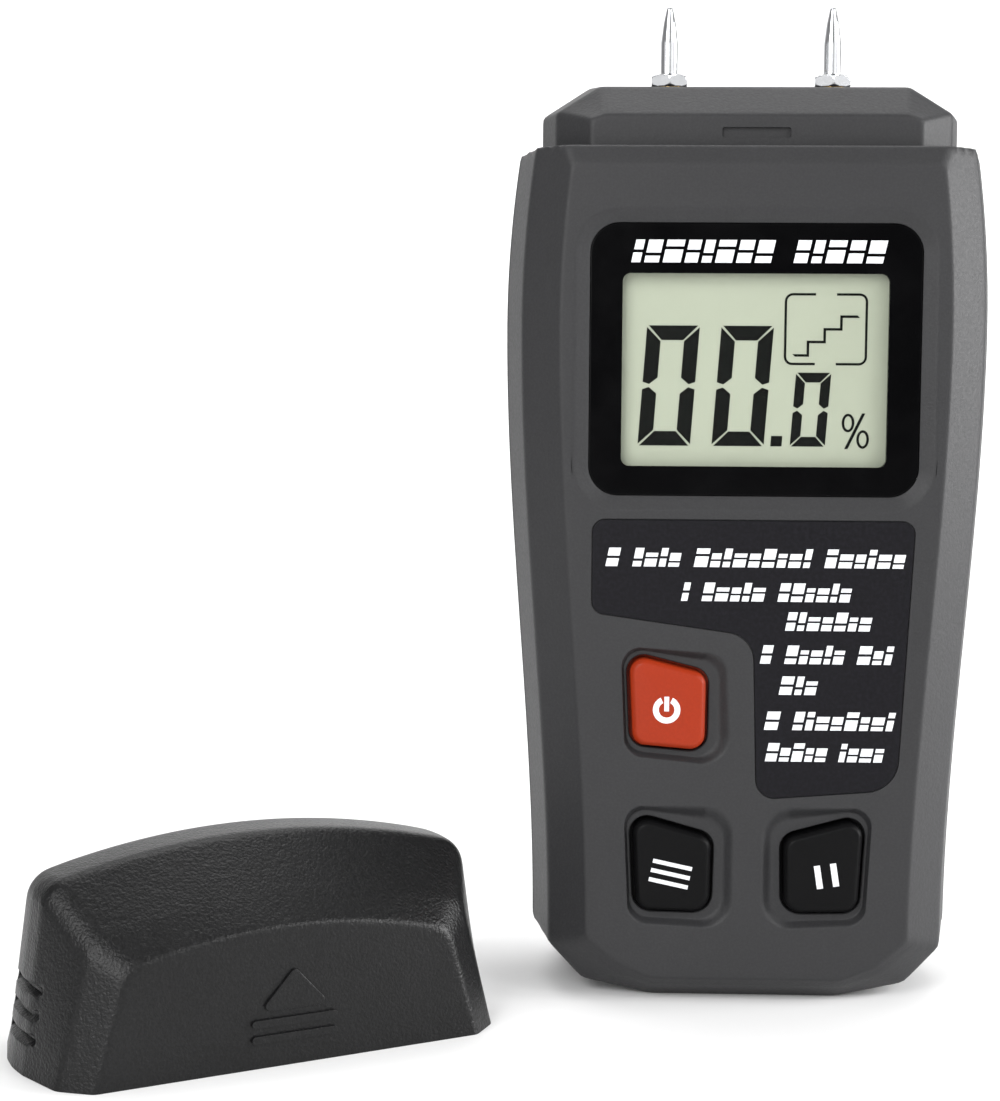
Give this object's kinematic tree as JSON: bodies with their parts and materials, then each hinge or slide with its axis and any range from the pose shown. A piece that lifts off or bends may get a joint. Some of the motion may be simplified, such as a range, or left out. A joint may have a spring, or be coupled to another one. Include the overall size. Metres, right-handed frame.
{
  "type": "pin moisture meter",
  "caption": "Hand-held pin moisture meter for wood floors: two steel pins, display window, three keys, sliding battery door and a pull-off protective cap.",
  "frame": {"origin": "middle of the flat base that the meter stands on, half-way through its thickness", "axes": "+Z the way the pins point, -Y out of the front face with the display, +X to the right seen from the front"},
  "size_m": [0.1297, 0.071, 0.1363],
  "materials": {
    "case_plastic": "dark grey moulded plastic with a fine sand texture",
    "cap_plastic": "near-black moulded plastic with a leather-like grain",
    "bezel_plastic": "black printed window panel",
    "clear_plastic": "clear window pane",
    "lcd_glass": "grey-green liquid crystal display",
    "white_plastic": "natural white moulded plastic",
    "strip_rubber": "layered conductive rubber strip",
    "label_film": "black printed label film",
    "orange_key": "orange moulded key",
    "black_key": "black moulded key",
    "plunger_plastic": "dark plastic switch plunger",
    "switch_plastic": "dark plastic switch body",
    "board_laminate": "green circuit board laminate",
    "chip_plastic": "black moulded component",
    "can_metal": "drawn metal can",
    "capacitor_sleeve": "blue sleeve of a capacitor",
    "chrome_pin": "bright plated hardened steel",
    "brass": "turned brass",
    "steel": "zinc plated steel nut",
    "screw_steel": "dark zinc plated steel",
    "blue_wire": "blue insulated wire",
    "red_wire": "red insulated wire",
    "black_wire": "black insulated wire",
    "battery_jacket": null,
    "foam": "soft foam pad"
  },
  "bodies": {
    "meter": {"front_case": "case_plastic", "rear_case": "case_plastic", "display_bezel": "bezel_plastic", "display_lens": "clear_plastic", "lcd_glass": "lcd_glass", "lcd_frame": "white_plastic", "upper_zebra_strip": "strip_rubber", "lower_zebra_strip": "strip_rubber", "label_panel": "label_film", "switch_bodies": "switch_plastic", "main_board": "board_laminate", "controller_chip": "chip_plastic", "crystal_can": "can_metal", "chip_resistors": "chip_plastic", "filter_capacitors": "capacitor_sleeve", "pin_holder": "white_plastic", "left_pin": "chrome_pin", "right_pin": "chrome_pin", "left_socket": "brass", "right_socket": "brass", "terminal_nuts": "steel", "left_pin_lead": "blue_wire", "right_pin_lead": "blue_wire", "battery": "battery_jacket", "battery_snap": "chip_plastic", "red_battery_lead": "red_wire", "black_battery_lead": "black_wire", "battery_pad": "foam", "case_screws": "screw_steel", "board_screws": "screw_steel"},
    "power_key": {"power_key": "orange_key", "power_plunger": "plunger_plastic"},
    "mode_key": {"mode_key": "black_key", "mode_plunger": "plunger_plastic"},
    "hold_key": {"hold_key": "black_key", "hold_plunger": "plunger_plastic"},
    "battery_door": {"battery_door": "case_plastic"},
    "protective_cap": {"protective_cap": "cap_plastic"}
  },
  "joints": [
    {"name": "power_press", "type": "slide", "parent": "meter", "child": "power_key", "axis": [0, 1, 0], "range_m": [0, 0.0008], "stiffness_N_per_m": 800, "springref_m": -0.0005},
    {"name": "mode_press", "type": "slide", "parent": "meter", "child": "mode_key", "axis": [0, 1, 0], "range_m": [0, 0.0008], "stiffness_N_per_m": 800, "springref_m": -0.0005},
    {"name": "hold_press", "type": "slide", "parent": "meter", "child": "hold_key", "axis": [0, 1, 0], "range_m": [0, 0.0008], "stiffness_N_per_m": 800, "springref_m": -0.0005},
    {"name": "door_slide", "type": "slide", "parent": "meter", "child": "battery_door", "axis": [0, 0, -1], "range_m": [0, 0.05]},
    {"name": "cap_pull", "type": "slide", "parent": "meter", "child": "protective_cap", "axis": [0, 0, 1], "range_m": [0, 0.03]}
  ]
}
